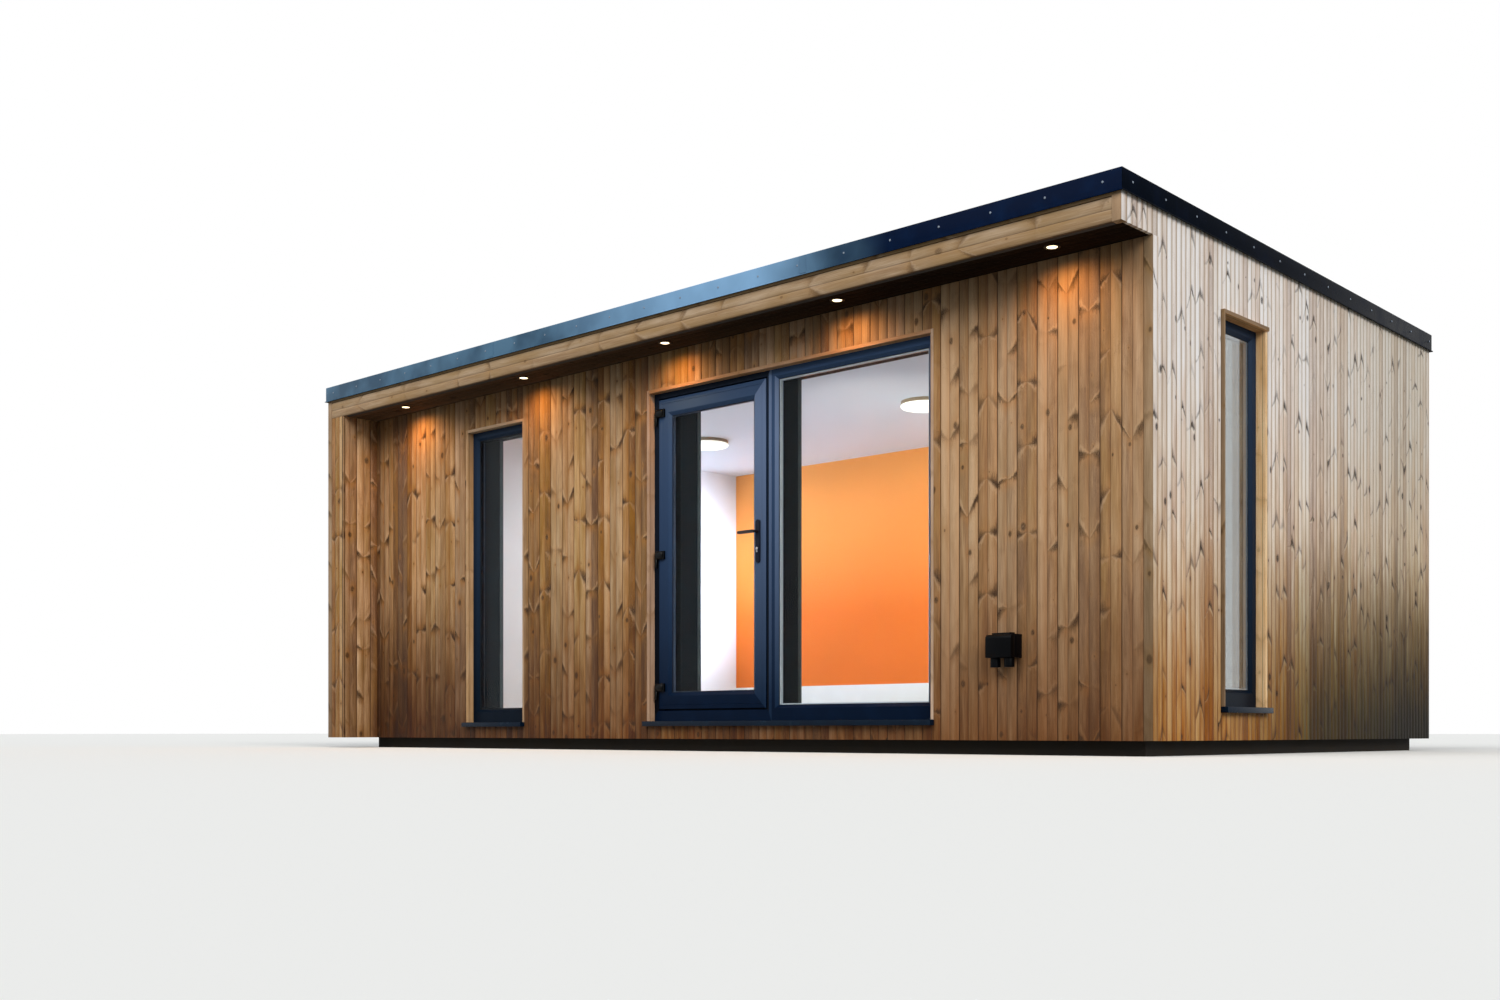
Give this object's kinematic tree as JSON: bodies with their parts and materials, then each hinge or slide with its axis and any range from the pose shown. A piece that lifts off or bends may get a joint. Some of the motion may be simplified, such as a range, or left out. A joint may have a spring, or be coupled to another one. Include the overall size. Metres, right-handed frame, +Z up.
{
  "type": "garden office pod",
  "caption": "Timber-clad flat-roof garden room with a front canopy, wing wall, outward-opening glazed door with sidelight, two slot windows, soffit lights and an outdoor socket",
  "frame": {"origin": "on the ground, in the middle of the roof's outline", "axes": "+X to the right along the front seen from outside, +Y to the rear, +Z up; the front faces -Y"},
  "size_m": [6.746, 3.87, 2.7022],
  "materials": {
    "cladding": "heat-treated softwood boards",
    "trim_wood": "planed softwood",
    "soffit_wood": "heat-treated softwood boards",
    "structure": "timber panel",
    "base_timber": "dark treated timber",
    "frame_plastic": "anthracite profile",
    "reveal_paint": "dark lining boards",
    "sill_plastic": "dark sill",
    "roof_trim": "gloss dark blue folded sheet",
    "roof_rubber": "roofing sheet",
    "white_paint": "painted board",
    "black_metal": "black coating",
    "black_plastic": "black moulding",
    "glazing": "sealed double glazing",
    "lamp": "opal diffuser"
  },
  "bodies": {
    "building": {"base_frame": "base_timber", "floor": "structure", "front_wall_left": "cladding", "front_wall_middle": "cladding", "front_wall_right": "cladding", "front_wall_over": "cladding", "front_wall_under": "cladding", "left_wall": "cladding", "wing_wall": "cladding", "rear_wall": "cladding", "right_wall_front": "cladding", "right_wall_rear": "cladding", "right_wall_over": "cladding", "right_wall_under": "cladding", "corner_posts": "trim_wood", "soffit": "soffit_wood", "fascia": "trim_wood", "roof_deck": "structure", "roof_sheet": "roof_rubber", "trim_front": "roof_trim", "trim_rear": "roof_trim", "trim_sides": "roof_trim", "ceiling": "white_paint", "room_left_wall": "white_paint", "skirting": "white_paint", "window_linings": "trim_wood", "door_lining": "trim_wood", "sills": "sill_plastic", "front_window_frame": "frame_plastic", "side_window_frame": "frame_plastic", "window_glass": "glazing", "door_frame": "frame_plastic", "sidelight_frame": "frame_plastic", "sidelight_glass": "glazing", "inner_reveals": "reveal_paint", "hinges_frame": "black_metal", "socket_box": "black_plastic", "downlights": "lamp", "ceiling_lamps": "lamp"},
    "door": {"door_leaf": "frame_plastic", "door_glass": "glazing", "hinges_leaf": "black_metal", "handle_plates": "black_metal"},
    "lever": {"lever": "black_metal"},
    "socket_lid": {"socket_cover": "black_plastic"}
  },
  "joints": [
    {"name": "door_hinge", "type": "hinge", "parent": "building", "child": "door", "pos_m": [-0.101, -1.589, 1.2215], "axis": [0, 0, -1], "range_deg": [0, 90]},
    {"name": "lever_turn", "type": "hinge", "parent": "door", "child": "lever", "pos_m": [0.763, -1.578, 1.293], "axis": [0, -1, 0], "range_deg": [0, 35], "stiffness_Nm_per_rad": 1.5},
    {"name": "cover_hinge", "type": "hinge", "parent": "building", "child": "socket_lid", "pos_m": [2.53923, -1.689, 0.614], "axis": [-1, 0, 0], "range_deg": [0, 95]}
  ]
}
